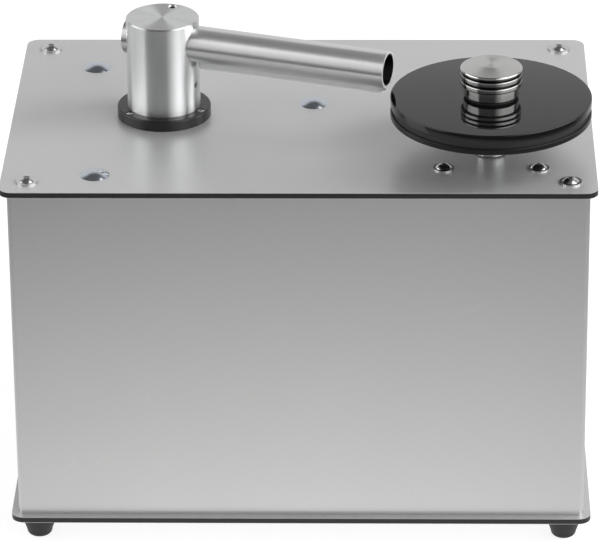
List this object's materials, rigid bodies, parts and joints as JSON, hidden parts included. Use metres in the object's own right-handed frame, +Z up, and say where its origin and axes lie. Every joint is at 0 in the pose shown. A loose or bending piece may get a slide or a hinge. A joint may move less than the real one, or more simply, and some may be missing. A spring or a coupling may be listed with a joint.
{
  "type": "record cleaning machine",
  "caption": "Vacuum record cleaning machine: a silver metal case with a polished column, a slotted suction arm and a label-size platter with a black clamp disc and a turned knob.",
  "frame": {"origin": "centre of the footprint, on the surface that the four feet stand on", "axes": "+X to the right along the case, +Y to the back panel, +Z up; the pictured front wall faces -Y"},
  "size_m": [0.294, 0.196, 0.25],
  "materials": {
    "deck_alu": "satin anodised composite, black core at the edge",
    "sheet_alu": "satin anodised sheet",
    "polished_alu": "turned and polished",
    "brushed_alu": "fine brushed",
    "black_alu": "satin black anodised",
    "black_gloss": "polished black acrylic",
    "rubber": "soft black rubber",
    "knob_steel": "turned steel with knurled rings",
    "stainless": "bright stainless",
    "zinc_steel": "blue zinc plated",
    "dark_steel": "blackened",
    "motor_steel": "zinc coated motor casing",
    "bronze": "sintered bronze",
    "white_plastic": "low friction plastic",
    "tank_plastic": "translucent tank plastic",
    "hose_plastic": "clear drain hose",
    "black_plastic": "moulded black plastic",
    "red_plastic": "moulded red plastic",
    "felt": "short pale velvet",
    "circuit_board": "green board with components"
  },
  "bodies": {
    "base": {"top_plate": "deck_alu", "bottom_plate": "deck_alu", "body_shell": "sheet_alu", "back_panel": "sheet_alu", "back_panel_screws": "stainless", "corner_posts": "brushed_alu", "corner_screws": "stainless", "feet": "rubber", "foot_studs": "zinc_steel", "carriage_bolts": "zinc_steel", "bolt_spacers": "black_plastic", "support_tubes": "brushed_alu", "bolt_nuts": "zinc_steel", "gear_unit": "motor_steel", "drive_motor": "motor_steel", "motor_screws": "stainless", "shaft_bush": "bronze", "arm_base_ring": "black_alu", "ring_screws": "stainless", "pivot_tube": "brushed_alu", "tank_lid": "black_plastic", "tank_gasket": "rubber", "tank_body": "tank_plastic", "splash_hood": "tank_plastic", "fan_cover": "brushed_alu", "vacuum_motor": "motor_steel", "motor_cradle": "brushed_alu", "exhaust_duct": "black_plastic", "exhaust_grille": "black_plastic", "drain_hose": "hose_plastic", "drain_outlet": "white_plastic", "mains_inlet": "black_plastic", "power_board": "circuit_board", "switch_frames": "black_plastic"},
    "lift_carrier": {"lift_washer": "white_plastic", "lift_spring": "dark_steel"},
    "arm": {"arm_column": "polished_alu", "arm_tube": "brushed_alu", "tube_end_plug": "black_plastic", "tube_rear_plug": "polished_alu", "suction_lip": "polished_alu", "lip_felt": "felt", "guide_screw": "dark_steel", "height_screw": "stainless"},
    "platter": {"output_shaft": "stainless", "platter_hub": "brushed_alu", "hub_grub_screw": "dark_steel", "platter_disc": "black_alu", "platter_mat": "rubber", "spindle": "stainless"},
    "clamp": {"clamp_disc": "black_gloss", "clamp_seal": "rubber", "knob_washer": "rubber"},
    "clamp_knob": {"knob": "knob_steel", "knob_clip": "dark_steel"},
    "motor_rocker": {"motor_rocker": "black_plastic"},
    "vacuum_rocker": {"vacuum_rocker": "black_plastic"},
    "fan": {"fan_shaft": "stainless", "fan_wheel": "brushed_alu"},
    "drain_cock": {"drain_cock": "red_plastic"}
  },
  "joints": [
    {"name": "arm_lift", "type": "slide", "parent": "base", "child": "lift_carrier", "axis": [0, 0, 1], "range_m": [-0.004, 0], "stiffness_N_per_m": 500, "springref_m": 0.008, "deforming": ["lift_spring"]},
    {"name": "arm_swing", "type": "hinge", "parent": "lift_carrier", "child": "arm", "pos_m": [-0.07, 0, 0.2065], "axis": [0, 0, 1], "range_deg": [0, 100]},
    {"name": "platter_spin", "type": "hinge", "parent": "base", "child": "platter", "pos_m": [0.09503, -0.04794, 0.2065], "axis": [0, 0, 1], "continuous": true},
    {"name": "clamp_travel", "type": "slide", "parent": "platter", "child": "clamp", "axis": [0, 0, 1], "range_m": [0, 0.011]},
    {"name": "knob_turn", "type": "hinge", "parent": "clamp", "child": "clamp_knob", "pos_m": [0.09503, -0.04794, 0.2265], "axis": [0, 0, 1], "range_deg": [0, 3960]},
    {"name": "motor_rocker_tilt", "type": "hinge", "parent": "base", "child": "motor_rocker", "pos_m": [0.14225, 0.024, 0.146], "axis": [0, 1, 0], "range_deg": [-9, 9]},
    {"name": "vacuum_rocker_tilt", "type": "hinge", "parent": "base", "child": "vacuum_rocker", "pos_m": [0.14225, 0.05, 0.146], "axis": [0, -1, 0], "range_deg": [0, 18]},
    {"name": "fan_spin", "type": "hinge", "parent": "base", "child": "fan", "pos_m": [-0.07, 0, 0.0865], "axis": [0, 0, 1], "continuous": true},
    {"name": "drain_cock_turn", "type": "hinge", "parent": "base", "child": "drain_cock", "pos_m": [0.01192, -0.05736, 0.0115], "axis": [0, 0, 1], "range_deg": [0, 90]}
  ],
  "couplings": [
    {"joint": "knob_turn", "follows": "clamp_travel", "rad_per_m": 6283.2}
  ]
}
